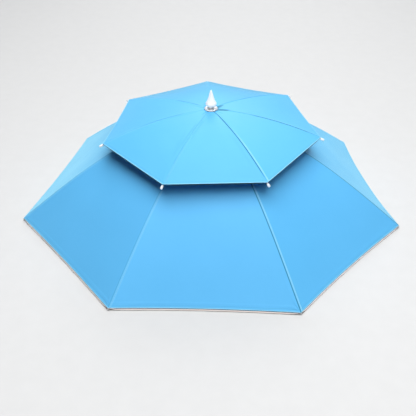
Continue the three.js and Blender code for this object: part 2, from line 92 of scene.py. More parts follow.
# One row for each rib and the panel after it, counter-clockwise from the rib at +Y.
# lower_in, upper_in: how far the middle of each hem bows inwards, as a share of its canopy's radius.
# lift: how much less the upper cloth falls along that rib, as a share of its fall.
# strip: share of the lower hem that shows its silver side. tuck: how far, in mm, the hem is drawn in
# over that strip, which also sets the painted shade in the tuck, full from 1 mm. seam: darkness of the lower
# seam's line, a dark joint with painted shade in its groove. shine: strength of the painted highlight on the
# lap beside it.
ROUND = [
    dict(lower_in=0.010, upper_in=0.014, lift=0.00, strip=0.30, tuck=0.2, seam=0.20, shine=0.2),
    dict(lower_in=0.009, upper_in=0.009, lift=0.00, strip=0.40, tuck=0.2, seam=0.25, shine=0.2),
    dict(lower_in=0.0065, upper_in=0.0, lift=-0.02, strip=0.58, tuck=0.35, seam=0.45, shine=0.3),
    dict(lower_in=0.011, upper_in=0.0, lift=-0.05, strip=0.52, tuck=1.1, seam=0.30, shine=0.3),
    dict(lower_in=0.014, upper_in=0.0, lift=-0.06, strip=0.50, tuck=0.3, seam=0.90, shine=0.8),
    dict(lower_in=0.024, upper_in=0.007, lift=0.07, strip=0.45, tuck=0.2, seam=0.85, shine=0.4),
    dict(lower_in=0.010, upper_in=0.02, lift=0.06, strip=0.30, tuck=0.2, seam=0.20, shine=0.2),
]
# The upper cloth's seams in the same order: how dark each is, a dark joint with painted shade in its
# groove, from where to where along the rib it shows, in mm, and how bright the painted highlight on its lap
# is.
TOP_SEAMS = [
    {"line_and_shade": 0.12, "start": 13, "end": 60, "shine": 0.1},
    {"line_and_shade": 0.75, "start": 34, "end": 74, "shine": 0.2},
    {"line_and_shade": 0.80, "start": 60, "end": 118, "shine": 0.2},
    {"line_and_shade": 0.24, "start": 40, "end": 160, "shine": 0.1},
    {"line_and_shade": 1.00, "start": 12, "end": 185, "shine": 0.8},
    {"line_and_shade": 1.00, "start": 88, "end": 185, "shine": 0.3},
    {"line_and_shade": 0.45, "start": 80, "end": 130, "shine": 0.1},
]
FAINT_INK = 0.08

# Sewing, in mm.
CLOTH_WALL = 0.8
THREAD_PITCH = 0.7
STITCH_PITCH = 2.6
SEAM_STITCH = 3.4  # from the seam to the line of stitches beside it
HEM_STITCH = 3.8  # from the edge to the line of stitches along it
LAP_START = (0.5, 1.1)
LAP_END = (4.8, 5.8)
LOWER_FOLD = 9.0
UPPER_FOLD = 8.0
FOLD_STEP = 0.8
# Lines drawn on the cloth, in mm: how far each lies from its seam or edge, its half width and its blur.
LINES = {
    "lap": (SEAM_STITCH, 0.9, 1.2),
    "edge": (0.4, 0.4, 0.5),
    "groove": (0.0, 0.5, 0.9),
    "seam_stitch": (SEAM_STITCH, 0.22, 0.25),
    "hem_stitch": (HEM_STITCH, 0.22, 0.25),
}
# How much of its own colour each mark on the cloth takes: the painted highlight on laps and hem edges, and
# the stitches.
GLINT_STRENGTH = 0.6
STITCH_STRENGTH = 0.25
# Relief of the face, in mm.
LAP_HEIGHT = 0.32
FOLD_HEIGHT = 0.14
GROOVE_DEPTH = 0.55
GROOVE_WIDTH = 0.65
STITCH_DIP = 0.08
SEAM_STITCH_WIDTH = 0.4
HEM_STITCH_WIDTH = 0.45


def lower_height(radius):
    share = 1 - radius / RIM_RADIUS
    return RIM_RADIUS * (RIM_SLOPE * share - CROWN_FLATTENING * share**3)


def lower_fall(radius):
    return RIM_SLOPE - 3 * CROWN_FLATTENING * (1 - radius / RIM_RADIUS) ** 2


CROWN_HEIGHT = lower_height(HUB_RADIUS) + HUB_SPACING


def upper_drop(rib):
    return TOP_DROP * (1 - ROUND[rib % RIB_COUNT]["lift"])


def upper_height(radius, rib=0):
    return CROWN_HEIGHT - upper_drop(rib) * (radius / TOP_RADIUS) ** 2


def upper_fall(radius, rib=0):
    return 2 * upper_drop(rib) * radius / TOP_RADIUS**2


LOWER = {
    "height": lambda radius, rib: lower_height(radius),
    "fall": lambda radius, rib: lower_fall(radius),
}
UPPER = {"height": upper_height, "fall": upper_fall}


def under(cloth, rib, radius, depth, reach=0.0):
    """A point in a rib's own plane: (out, up), depth below the cloth's face and reach along it."""
    angle = math.atan(cloth["fall"](radius, rib))
    out = radius - depth * math.sin(angle) + reach * math.cos(angle)
    up = cloth["height"](radius, rib) - depth * math.cos(angle) - reach * math.sin(angle)
    return out, up


LONG_DEPTH = CLOTH + FIT_GAP + LONG_RIB_RADIUS
SHORT_DEPTH = CLOTH + FIT_GAP + SHORT_RIB_RADIUS
HUB_LINE = under(LOWER, 0, HUB_RADIUS, LONG_DEPTH)[1]
ORIGIN_HEIGHT = HUB_LINE - PAD_DROP
RIB_START = HUB_SLOT_START + FIT_GAP
BORE_RADIUS = POST_RADIUS + FIT_GAP
WASHER_BOTTOM = CROWN_HEIGHT + FIT_GAP
FINIAL_BOTTOM = WASHER_BOTTOM + WASHER_HEIGHT + FIT_GAP


def to_frame(points):
    """Millimetres above the rim plane to metres in the row frame."""
    points = np.array(points, float)
    points[..., 2] -= ORIGIN_HEIGHT
    return points * MM


def smooth(low, high, value):
    t = np.clip((value - low) / (high - low), 0, 1)
    return t * t * (3 - 2 * t)


# Materials


def tree_of(name):
    material = bpy.data.materials.new(name)
    material.use_nodes = True
    nodes = material.node_tree.nodes
    return material, nodes, material.node_tree.links, nodes["Principled BSDF"]


def math_node(nodes, links, operation, *values):
    node = nodes.new("ShaderNodeMath")
    node.operation = operation
    for index, value in enumerate(values):
        if isinstance(value, (int, float)):
            node.inputs[index].default_value = value
        else:
            links.new(value, node.inputs[index])
    return node.outputs[0]


def attribute(nodes, name):
    node = nodes.new("ShaderNodeAttribute")
    node.attribute_name = name
    return node.outputs["Fac"]


def mixed(nodes, links, factor, first, second):
    node = nodes.new("ShaderNodeMix")
    node.data_type = "RGBA"
    for socket, value in ((node.inputs[0], factor), (node.inputs[6], first), (node.inputs[7], second)):
        if isinstance(value, (int, float)):
            socket.default_value = value
        elif isinstance(value, tuple):
            socket.default_value = (*value, 1.0)
        else:
            links.new(value, socket)
    return node.outputs[2]


def noise(nodes, links, scale, detail=3.0, roughness=0.55, distortion=0.0):
    coordinates = nodes.new("ShaderNodeTexCoord")
    node = nodes.new("ShaderNodeTexNoise")
    node.inputs["Scale"].default_value = scale
    node.inputs["Detail"].default_value = detail
    node.inputs["Roughness"].default_value = roughness
    node.inputs["Distortion"].default_value = distortion
    links.new(coordinates.outputs["Object"], node.inputs["Vector"])
    return node.outputs["Fac"]


def band(nodes, links, value, centre, half_width, softness):
    """1 within half_width of centre, falling to 0 over softness."""
    away = math_node(nodes, links, "ABSOLUTE", math_node(nodes, links, "SUBTRACT", value, centre))
    node = nodes.new("ShaderNodeMapRange")
    node.interpolation_type = "SMOOTHSTEP"
    node.inputs["From Min"].default_value = half_width + softness
    node.inputs["From Max"].default_value = half_width
    links.new(away, node.inputs["Value"])
    return node.outputs["Result"]


def rising(nodes, links, value, low, high):
    """0 up to low, 1 from high on."""
    node = nodes.new("ShaderNodeMapRange")
    node.interpolation_type = "SMOOTHSTEP"
    node.inputs["From Min"].default_value = low
    node.inputs["From Max"].default_value = high
    links.new(value, node.inputs["Value"])
    return node.outputs["Result"]


def drawn_line(nodes, links, distance, row):
    centre, half_width, blur = (size * MM for size in LINES[row])
    return band(nodes, links, distance, centre, half_width, blur)


def stitches(nodes, links, distance, row, run):
    """Dashes along a line of sewing; run is the distance along it."""
    phase = math_node(nodes, links, "FRACT", math_node(nodes, links, "DIVIDE", run, STITCH_PITCH * MM))
    dash = band(nodes, links, phase, 0.5, 0.3, 0.08)
    return math_node(nodes, links, "MULTIPLY", drawn_line(nodes, links, distance, row), dash)


def threads(nodes, links, run):
    turns = math_node(nodes, links, "MULTIPLY", run, 2 * math.pi / (THREAD_PITCH * MM))
    return math_node(nodes, links, "SINE", turns)


def bump(nodes, links, height, strength, distance):
    node = nodes.new("ShaderNodeBump")
    node.inputs["Strength"].default_value = strength
    node.inputs["Distance"].default_value = distance
    links.new(height, node.inputs["Height"])
    return node


def cloth_material(name, deep, pale, line, line_strength, glint, sheen, sheen_tint):
    material, nodes, links, shader = tree_of(name)
    seam_d, lap_d = attribute(nodes, "seam_d"), attribute(nodes, "lap_d")
    edge_d, across, along = attribute(nodes, "edge_d"), attribute(nodes, "across"), attribute(nodes, "along")

    def times(first, second):
        return math_node(nodes, links, "MULTIPLY", first, second)

    def larger(first, second):
        return math_node(nodes, links, "MAXIMUM", first, second)

    cloudy = noise(nodes, links, 5.0, 2.0)
    mottle = noise(nodes, links, 60.0, 4.0, 0.65)
    tone = math_node(nodes, links, "ADD", times(cloudy, 0.8), times(mottle, 0.25))
    colour = mixed(nodes, links, tone, deep, pale)

    # The lap beside each seam and the folded edge of the hem get a painted highlight: a paler colour where
    # they would catch the light.
    lap = times(drawn_line(nodes, links, lap_d, "lap"), attribute(nodes, "seam_shine"))
    edge = times(drawn_line(nodes, links, edge_d, "edge"), attribute(nodes, "cloth_face"))
    colour = mixed(nodes, links, times(larger(lap, edge), GLINT_STRENGTH), colour, glint)
    # Darker lines: each seam's line is a dark joint with painted shade in its groove, and the upper cloth's
    # gathers and creases get painted shade.
    groove = times(drawn_line(nodes, links, seam_d, "groove"), attribute(nodes, "seam_line_and_shade"))
    line_and_shade = larger(groove, attribute(nodes, "fold_painted_shade"))
    colour = mixed(nodes, links, times(line_and_shade, line_strength), colour, line)

    # Down the hem: painted shade, near black, in the tuck under its fold, then the strip of silver.
    hem_d, strip_from = attribute(nodes, "hem_d"), attribute(nodes, "strip_from")
    in_strip = rising(nodes, links, math_node(nodes, links, "SUBTRACT", hem_d, strip_from), -0.03, 0.03)
    in_tuck_shade = times(rising(nodes, links, hem_d, 0.12, 0.28), attribute(nodes, "tuck_painted_shade"))
    colour = mixed(nodes, links, in_tuck_shade, colour, TUCK_SHADE_COLOUR)
    colour = mixed(nodes, links, in_strip, colour, STRIP_COLOUR)

    beside_seam = stitches(nodes, links, lap_d, "seam_stitch", along)
    sewn = larger(beside_seam, stitches(nodes, links, edge_d, "hem_stitch", across))
    colour = mixed(nodes, links, times(sewn, STITCH_STRENGTH), colour, line)
    links.new(colour, shader.inputs["Base Color"])

    # Plain weave: two families of threads, one over the other in turn, over a soft unevenness.
    weave = times(threads(nodes, links, across), threads(nodes, links, along))
    grain = noise(nodes, links, 900.0, 2.0)
    height = math_node(nodes, links, "ADD", times(weave, 0.5), times(grain, 0.6))
    height = math_node(nodes, links, "SUBTRACT", height, times(sewn, 2.0))
    fine = bump(nodes, links, height, 0.22, 0.00012)
    soft = bump(nodes, links, noise(nodes, links, 16.0, 3.0, 0.5, 0.6), 0.12, 0.004)
    links.new(fine.outputs["Normal"], soft.inputs["Normal"])
    links.new(soft.outputs["Normal"], shader.inputs["Normal"])

    rough = nodes.new("ShaderNodeMapRange")
    rough.inputs["To Min"].default_value = 0.42
    rough.inputs["To Max"].default_value = 0.58
    links.new(mottle, rough.inputs["Value"])
    links.new(rough.outputs["Result"], shader.inputs["Roughness"])
    shader.inputs["Sheen Weight"].default_value = sheen
    shader.inputs["Sheen Tint"].default_value = (*sheen_tint, 1.0)
    shader.inputs["Sheen Roughness"].default_value = 0.4
    shader.inputs["Specular IOR Level"].default_value = 0.12
    return material


def moulded_material(name, deep, pale, low, high, skin_scale=220.0, metallic=0.0, relief=0.08):
    """Plastic or plated metal: a faint tone change, roughness from low to high and a fine skin."""
    material, nodes, links, shader = tree_of(name)
    tone = noise(nodes, links, 40.0, 3.0)
    links.new(mixed(nodes, links, tone, deep, pale), shader.inputs["Base Color"])
    skin = noise(nodes, links, skin_scale, 4.0, 0.6)
    rough = nodes.new("ShaderNodeMapRange")
    rough.inputs["To Min"].default_value = low
    rough.inputs["To Max"].default_value = high
    links.new(skin, rough.inputs["Value"])
    links.new(rough.outputs["Result"], shader.inputs["Roughness"])
    raised = bump(nodes, links, skin, relief, 0.0004)
    links.new(raised.outputs["Normal"], shader.inputs["Normal"])
    shader.inputs["Metallic"].default_value = metallic
    return material


def let_light_in(material, depth):
    """Light that enters a pale plastic comes out up to depth metres away."""
    shader = material.node_tree.nodes["Principled BSDF"]
    shader.inputs["Subsurface Weight"].default_value = 1.0
    shader.inputs["Subsurface Radius"].default_value = (1.0, 1.0, 1.0)
    shader.inputs["Subsurface Scale"].default_value = depth


STRIP_COLOUR = (0.93, 0.82, 0.78)
# Near-black painted shade for the tuck under a hem's fold.
TUCK_SHADE_COLOUR = (0.012, 0.02, 0.035)
CYAN_SHEEN = (0.45, 0.9, 1.0)
# glint: the colour of the painted highlight on seam laps and hem edges.
blue = cloth_material(
    "blue_cloth",
    deep=(0.074, 0.345, 0.635), pale=(0.096, 0.390, 0.705),
    line=(0.006, 0.125, 0.20), line_strength=0.88, glint=(0.32, 0.64, 0.77),
    sheen=0.8, sheen_tint=CYAN_SHEEN,
)
silver = cloth_material(
    "silver_lining",
    deep=(0.34, 0.33, 0.32), pale=(0.41, 0.40, 0.38),
    line=(0.2, 0.2, 0.2), line_strength=0.4, glint=(0.5, 0.5, 0.5),
    sheen=0.15, sheen_tint=(1.0, 1.0, 1.0),
)
under_blue = cloth_material(
    "blue_underside",
    deep=(0.045, 0.30, 0.66), pale=(0.055, 0.34, 0.72),
    line=(0.02, 0.1, 0.2), line_strength=0.5, glint=(0.1, 0.4, 0.7),
    sheen=0.3, sheen_tint=CYAN_SHEEN,
)
white = moulded_material("white_plastic", (0.94, 0.89, 0.89), (0.98, 0.94, 0.94), 0.26, 0.4)
let_light_in(white, 0.02)
black = moulded_material("black_plastic", (0.018, 0.019, 0.021), (0.03, 0.031, 0.034), 0.42, 0.6)
steel = moulded_material(
    "plated_steel", (0.50, 0.51, 0.53), (0.62, 0.63, 0.65), 0.24, 0.42, skin_scale=500.0, metallic=1.0
)


# Pieces


def made(name, points, faces, materials):
    mesh = bpy.data.meshes.new(name)
    mesh.from_pydata(points, [], faces)
    mesh.validate()
    for material in materials:
        mesh.materials.append(material)
    mesh.shade_smooth()
    piece = bpy.data.objects.new(name, mesh)
    bpy.context.scene.collection.objects.link(piece)
    return piece


def placed(piece, node_names):
    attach(piece, "root")
    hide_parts(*node_names)
    return piece


# Waves of unevenness: length in mm, direction and phase in radians.
RIPPLES = [(150, 0.4, 0.3), (95, 1.7, 2.1), (62, 2.6, 4.4), (38, 0.9, 1.2)]


def ripple(azimuth, radius, seed):
    """A fixed, slow unevenness of stretched cloth, between about -1 and 1."""
    x, y = radius * np.cos(azimuth), radius * np.sin(azimuth)
    total = 0
    for wave, (length, turn, phase) in enumerate(RIPPLES):
        direction = turn + seed * 1.3
        total = total + np.sin(
            (x * math.cos(direction) + y * math.sin(direction)) * 2 * math.pi / length + phase + seed * wave
        ) / (1 + 0.6 * wave)
    return total / 2.2


# How far from a seam the columns next to it stand, in mm, and the largest share of a panel each may take.
NEAR_SEAM = np.array([0, 0.35, 0.7, 1.05, 1.5, 2.1, 2.8, 3.4, 4.0, 4.8, 5.6, 6.6, 9.0, 14.0])
NEAR_SHARE = np.linspace(0, 0.26, len(NEAR_SEAM))
BETWEEN = 15

# What each point of the cloth tells its material. The distances are in metres.
VALUES = [
    "seam_d", "lap_d", "edge_d", "along", "across", "seam_line_and_shade", "seam_shine",
    "hem_d", "strip_from", "tuck_painted_shade", "cloth_face",
]
OTHER_SIDE = 1.0  # a distance in metres that no line is drawn at
FACE_ROW = {"tuck": 0.0, "flare": 0.0, "down": 0.0}


def canopy(cloth, radii, hem_rows, draw_key, azimuth, hem_drop, seam_line_and_shade, seam_shine, strip, tuck):
    """Stretched panels between ribs: a grid of points, and what each point needs for its seams.

    Rows run outwards over the cloth's face and then down round the hem, as hem_rows says.
    """
    outer_radius = radii[-1]
    edge_length = 2 * outer_radius * math.sin(PANEL_ANGLE / 2)
    grid, columns = [], {key: [] for key in VALUES}
    for row in range(len(radii) + len(hem_rows)):
        radius = radii[min(row, len(radii) - 1)]
        width = 2 * radius * math.sin(PANEL_ANGLE / 2)
        share = (radius - radii[0]) / (outer_radius - radii[0])
        hem = hem_rows[row - len(radii)] if row >= len(radii) else FACE_ROW
        left = np.minimum(NEAR_SEAM / width, NEAR_SHARE)
        inner = np.linspace(left[-1], 1 - left[-1], BETWEEN)
        t = np.concatenate([left, inner[1:-1], (1 - left)[::-1]])[:-1]
        line, found = [], {key: [] for key in VALUES}
        for panel in range(RIB_COUNT):
            start = azimuth + panel * PANEL_ANGLE
            ends = [
                np.array([
                    radius * math.cos(start + side * PANEL_ANGLE),
                    radius * math.sin(start + side * PANEL_ANGLE),
                    cloth["height"](radius, panel + side),
                ])
                for side in (0, 1)
            ]
            middle = start + PANEL_ANGLE / 2
            inward = np.array([-math.cos(middle), -math.sin(middle), 0.0])
            drawn = ROUND[panel][draw_key] * outer_radius * 4 * t * (1 - t) * share**2
            points = ends[0] * (1 - t)[:, None] + ends[1] * t[:, None] + inward * drawn[:, None]
            taper = np.minimum(1.0, np.minimum(t, 1 - t) * edge_length / HEM_TAPER)
            points += inward * (hem["tuck"] * tuck(panel) - hem["flare"]) * taper[:, None]
            points[:, 2] -= hem["down"] * (HEM_CORNER + (hem_drop - HEM_CORNER) * taper)
            line.append(points)
            after = t <= 0.5
            found["seam_d"].append(np.minimum(t, 1 - t) * width * MM)
            found["lap_d"].append(np.where(after, t * width * MM, OTHER_SIDE))
            found["edge_d"].append(np.full(len(t), (outer_radius - radius) * MM))
            found["along"].append(np.full(len(t), radius * MM))
            found["across"].append((t - 0.5) * width * MM)
            found["seam_line_and_shade"].append(np.where(after, seam_line_and_shade(panel, radius), seam_line_and_shade(panel + 1, radius)))
            found["seam_shine"].append(np.where(after, seam_shine(panel, radius), 0.0))
            found["hem_d"].append(np.full(len(t), hem["down"]))
            found["strip_from"].append(np.full(len(t), 1.0 - strip(panel) if strip(panel) else 2.0))
            # Painted shade in the tuck: as strong as the tuck is deep, full from 1 mm, fading at the
            # corners.
            found["tuck_painted_shade"].append(np.minimum(1.0, tuck(panel)) * taper)
            found["cloth_face"].append(np.full(len(t), 1.0 if row < len(radii) else 0.0))
        grid.append(np.concatenate(line))
        for key in VALUES:
            columns[key].append(np.concatenate(found[key]))
    return np.array(grid), {key: np.array(rows) for key, rows in columns.items()}


def normals_of(grid):
    down = np.zeros_like(grid)
    down[1:-1] = grid[2:] - grid[:-2]
    down[0], down[-1] = grid[1] - grid[0], grid[-1] - grid[-2]
    across = np.roll(grid, -1, axis=1) - np.roll(grid, 1, axis=1)
    normal = np.cross(down, across)
    length = np.linalg.norm(normal, axis=2, keepdims=True)
    return normal / np.maximum(length, 1e-12)


def cloth_piece(name, points, values, thickness, relief, lining):
    """Closes a canopy's grid into a thin wall. Its outer face has the relief, its inner one the hollows."""
    normal = normals_of(points)
    outer = points + normal * relief[..., None]
    inner = points + normal * (np.minimum(relief, 0.0) - thickness)[..., None]
    rows, columns = points.shape[:2]
    count = rows * columns
    faces, material_index = [], []

    def at(row, column):
        return row * columns + column % columns

    for row in range(rows - 1):
        for column in range(columns):
            a, b, c, d = at(row, column), at(row + 1, column), at(row + 1, column + 1), at(row, column + 1)
            faces.append((a, b, c, d))
            material_index.append(0)
            faces.append((d + count, c + count, b + count, a + count))
            material_index.append(1)
    for column in range(columns):
        a, b = at(0, column), at(0, column + 1)
        faces.append((a, b, b + count, a + count))
        material_index.append(0)
        c, d = at(rows - 1, column), at(rows - 1, column + 1)
        faces.append((c, c + count, d + count, d))
        material_index.append(1)
    flat = to_frame(np.concatenate([outer.reshape(-1, 3), inner.reshape(-1, 3)]))
    piece = made(name, flat.tolist(), faces, [blue, lining])
    mesh = piece.data
    mesh.polygons.foreach_set("material_index", material_index)
    for key, grid in values.items():
        layer = mesh.attributes.new(key, "FLOAT", "POINT")
        layer.data.foreach_set("value", np.tile(grid.reshape(-1), 2).astype(np.float32))
    mesh.update()
    return piece


def seam_relief(values, fold_width):
    """Height of the cloth's face over the smooth surface, in mm: seams, their laps and the hem."""
    seam, lap, edge = (values[key] / MM for key in ("seam_d", "lap_d", "edge_d"))
    raised = smooth(*LAP_START, lap) * (1 - smooth(*LAP_END, lap))
    groove = np.exp(-((seam / GROOVE_WIDTH) ** 2))
    fold = 1 - smooth(fold_width - FOLD_STEP, fold_width, edge)
    beside_edge = np.exp(-(((edge - HEM_STITCH) / HEM_STITCH_WIDTH) ** 2))
    beside_seam = np.exp(-(((lap - SEAM_STITCH) / SEAM_STITCH_WIDTH) ** 2))
    dips = GROOVE_DEPTH * groove + STITCH_DIP * (beside_edge + beside_seam)
    return LAP_HEIGHT * raised + FOLD_HEIGHT * fold - dips


def even_radii(start, end, step, close):
    """Radii from start to end, in even steps and then at the distances in close from the end."""
    count = max(2, round((end - close[0] - start) / step))
    return np.concatenate([np.linspace(start, end - close[0], count + 1), end - np.array(close[1:])])


RIM_CLOSE = [13.0, 10.5, 9.0, 8.2, 7.0, 5.6, 4.7, 4.3, 3.8, 3.3, 2.9, 2.2, 1.2, 0.5, 0.0]
# Each row of a hem: how far in, as a share of the tuck, how far out its foot flares, in mm, and how
# far down it lies, as a share of the hem's drop.
LOWER_HEM = [
    {"tuck": 0.0, "flare": 0.0, "down": 0.08},
    {"tuck": 0.12, "flare": 0.0, "down": 0.14},
    {"tuck": 0.7, "flare": 0.0, "down": 0.20},
    {"tuck": 1.0, "flare": 0.0, "down": 0.30},
    {"tuck": 0.9, "flare": 0.0, "down": 0.40},
    {"tuck": 0.5, "flare": 0.0, "down": 0.46},
    {"tuck": 0.4, "flare": 0.5, "down": 0.66},
    {"tuck": 0.35, "flare": 1.3, "down": 0.92},
]
UPPER_HEM = [
    {"tuck": 0.0, "flare": 0.0, "down": 0.14},
    {"tuck": 0.1, "flare": 0.0, "down": 0.24},
    {"tuck": 0.55, "flare": 0.0, "down": 0.34},
    {"tuck": 0.9, "flare": 0.0, "down": 0.50},
    {"tuck": 1.0, "flare": 0.0, "down": 0.75},
    {"tuck": 1.0, "flare": 0.0, "down": 1.0},
]
# The upper hem's tuck in mm; it also gives the painted shade in that tuck its full strength.
UPPER_TUCK = 1.2

lower_radii = even_radii(VENT_RADIUS, RIM_RADIUS, 9.0, RIM_CLOSE)
lower_points, lower_values = canopy(
    LOWER, lower_radii, LOWER_HEM, "lower_in", LONG_AZIMUTH, HEM_DROP,
    lambda rib, radius: ROUND[rib % RIB_COUNT]["seam"],
    lambda rib, radius: ROUND[rib % RIB_COUNT]["shine"],
    lambda panel: ROUND[panel]["strip"],
    lambda panel: ROUND[panel]["tuck"],
)


def slack(points, values, seed, amplitude, hold):
    """Slow unevenness that dies out at the ribs and, over the distance hold, at the rim."""
    azimuth = np.arctan2(points[..., 1], points[..., 0])
    radius = np.hypot(points[..., 0], points[..., 1])
    free = smooth(2, 70, np.abs(values["seam_d"]) / MM)
    edge = smooth(0, hold, values["edge_d"] / MM)
    return amplitude * free * (0.25 + 0.75 * edge) * ripple(azimuth, radius, seed)


def corner_pull(points, values, outer_radius, azimuth, amplitude, reach):
    """Fine tension folds that run up from each corner of the rim."""
    x, y = points[..., 0], points[..., 1]
    total = np.zeros(x.shape)
    for rib in range(RIB_COUNT):
        angle = azimuth + rib * PANEL_ANGLE
        dx, dy = x - outer_radius * math.cos(angle), y - outer_radius * math.sin(angle)
        distance = np.hypot(dx, dy)
        around = np.arctan2(dy, dx) - angle
        strength = np.exp(-distance / reach) * smooth(2, 12, distance)
        total += strength * np.sin(around * 16 + rib)
    return amplitude * total


lower_relief = seam_relief(lower_values, LOWER_FOLD)
lower_relief += slack(lower_points, lower_values, 1.0, 0.9, 60)
lower_relief += corner_pull(lower_points, lower_values, RIM_RADIUS, LONG_AZIMUTH, 0.35, 40)
lower_relief[len(lower_radii):] = 0
lower_values["fold_painted_shade"] = np.zeros(lower_relief.shape)
lower_cloth = cloth_piece("canopy_lower_cloth", lower_points, lower_values, CLOTH_WALL, lower_relief, silver)
placed(lower_cloth, [f"lower_panel_{panel + 1}" for panel in range(RIB_COUNT)])

hole = BORE_RADIUS / math.cos(PANEL_ANGLE / 2) + FIT_GAP
upper_close_in = np.array([hole, 9.0, 13.0, 15.0, 17.5, 20.5, 24.0, 28.0, 33.0])
upper_radii = np.concatenate([upper_close_in, even_radii(38.0, TOP_RADIUS, 7.0, RIM_CLOSE)])


def top_seam_line_and_shade(rib, radius):
    seam = TOP_SEAMS[rib % RIB_COUNT]
    begun = smooth(seam["start"] - 10, seam["start"], radius)
    ended = smooth(seam["end"], seam["end"] + 25, radius)
    return FAINT_INK + (seam["line_and_shade"] - FAINT_INK) * begun * (1 - ended)


# Strength of the painted highlight on the lap of each upper seam.
def top_shine(rib, radius):
    return TOP_SEAMS[rib % RIB_COUNT]["shine"] * smooth(60, 140, radius)


upper_points, upper_values = canopy(
    UPPER, upper_radii, UPPER_HEM, "upper_in", SHORT_AZIMUTH, TOP_HEM_DROP,
    top_seam_line_and_shade, top_shine, lambda panel: 0.0, lambda panel: UPPER_TUCK,
)

# Gathers that start under the washer: where each runs from and to, as radius in mm and azimuth in
# degrees, with its depth, its width and how dark the painted shade in it is.
GATHERS = [
    {"from": (11, 343), "to": (42, 357.5), "depth": 0.8, "width": 2.6, "line_and_shade": 1.5},
    {"from": (11, 28), "to": (33, 40), "depth": 0.8, "width": 2.8, "line_and_shade": 1.5},
    {"from": (12, 12), "to": (24, 20), "depth": 0.6, "width": 1.2, "line_and_shade": 0.15},
    {"from": (14, 200), "to": (34, 204), "depth": 0.4, "width": 1.5, "line_and_shade": 0.1},
    {"from": (14, 236), "to": (34, 234), "depth": 0.5, "width": 1.5, "line_and_shade": 0.2},
    {"from": (14, 262), "to": (30, 264), "depth": 0.35, "width": 1.5, "line_and_shade": 0.05},
    {"from": (14, 318), "to": (32, 322), "depth": 0.5, "width": 1.5, "line_and_shade": 0.15},
    {"from": (14, 75), "to": (34, 78), "depth": 0.4, "width": 1.5, "line_and_shade": 0.05},
    {"from": (14, 112), "to": (30, 114), "depth": 0.4, "width": 1.5, "line_and_shade": 0.05},
    {"from": (14, 165), "to": (36, 162), "depth": 0.4, "width": 1.6, "line_and_shade": 0.1},
]
# Fine creases beside the seams, drawn the same way.
CREASES = [
    {"from": (60, 244.5), "to": (175, 245.5), "depth": 0.3, "width": 1.1, "line_and_shade": 0.16},
    {"from": (48, 254.5), "to": (120, 251), "depth": 0.25, "width": 1.1, "line_and_shade": 0.14},
    {"from": (90, 240.5), "to": (165, 243.5), "depth": 0.2, "width": 1.3, "line_and_shade": 0.08},
    {"from": (100, 296), "to": (190, 297.5), "depth": 0.2, "width": 1.2, "line_and_shade": 0.08},
    {"from": (70, 355.5), "to": (150, 354), "depth": 0.25, "width": 1.2, "line_and_shade": 0.08},
    {"from": (60, 48), "to": (150, 45.5), "depth": 0.25, "width": 1.4, "line_and_shade": 0.1},
    {"from": (50, 140), "to": (120, 143), "depth": 0.25, "width": 1.4, "line_and_shade": 0.08},
]


def folds(points, rows):
    """How deep each point lies in the folds of a table, and how strong the painted shade of the fold is
    there.
    """
    depth, line_and_shade = np.zeros(points.shape[:2]), np.zeros(points.shape[:2])
    for fold in rows:
        start, end = (
            np.array([radius * math.cos(math.radians(turn)), radius * math.sin(math.radians(turn))])
            for radius, turn in (fold["from"], fold["to"])
        )
        length = np.linalg.norm(end - start)
        direction = (end - start) / length
        offset = points[..., :2] - start
        along = offset @ direction
        aside = offset @ np.array([-direction[1], direction[0]])
        shown = smooth(-3, 2, along) * (1 - smooth(0.55 * length, length, along))
        width = fold["width"] * (1.5 - 0.9 * np.clip(along / length, 0, 1))
        profile = shown * np.exp(-np.abs(aside / width) ** 3)
        depth += fold["depth"] * profile
        line_and_shade = np.maximum(line_and_shade, np.minimum(1.0, fold["line_and_shade"] * profile))
    return depth, line_and_shade


gather_depth, gather_painted_shade = folds(upper_points, GATHERS)
crease_depth, crease_painted_shade = folds(upper_points, CREASES)
from_axis = np.hypot(upper_points[..., 0], upper_points[..., 1])
upper_relief = seam_relief(upper_values, UPPER_FOLD) * smooth(12, 40, from_axis)
upper_relief += slack(upper_points, upper_values, 2.0, 0.7, 50)
upper_relief += corner_pull(upper_points, upper_values, TOP_RADIUS, SHORT_AZIMUTH, 0.3, 30)
upper_relief -= gather_depth + crease_depth
upper_relief[len(upper_radii):] = 0
upper_relief *= smooth(11, 16, from_axis)
# Painted shade in the gathers and creases.
upper_values["fold_painted_shade"] = np.maximum(gather_painted_shade, crease_painted_shade)
upper_values["fold_painted_shade"][len(upper_radii):] = 0
upper_cloth = cloth_piece(
    "canopy_upper_cloth", upper_points, upper_values, CLOTH_WALL, upper_relief, under_blue
)
placed(upper_cloth, [f"upper_panel_{panel + 1}" for panel in range(RIB_COUNT)])


def tube(name, path, radii, sides, materials):
    """A closed rod of changing radius along points in the XZ plane."""
    path, radii = np.array(path, float), np.array(radii, float)
    tangent = np.gradient(path, axis=0)
    tangent /= np.linalg.norm(tangent, axis=1, keepdims=True)
    side = np.array([0.0, 1.0, 0.0])
    points, faces = [], []
    for centre, direction, radius in zip(path, tangent, radii):
        upward = np.cross(direction, side)
        for step in range(sides):
            turn = 2 * math.pi * step / sides
            points.append(centre + radius * (math.cos(turn) * side + math.sin(turn) * upward))
    rings = len(path)
    for ring in range(rings - 1):
        for step in range(sides):
            a, b = ring * sides + step, ring * sides + (step + 1) % sides
            faces.append((a, b, b + sides, a + sides))
    faces.append(tuple(reversed(range(sides))))
    faces.append(tuple(range((rings - 1) * sides, rings * sides)))
    return made(name, to_frame(points).tolist(), faces, materials)


def turned_about_axis(piece, azimuth):
    piece.data.transform(Matrix.Rotation(azimuth, 4, "Z"))
    return piece


ROD_SIDES = 12
SLEEVE_SIDES = 24
LONG_RIB_POINTS = 40
SHORT_RIB_POINTS = 24
KNOB_SHARE = 0.6  # share of a long rib's bare end that bulges
KNOB_BULGE = 1.12
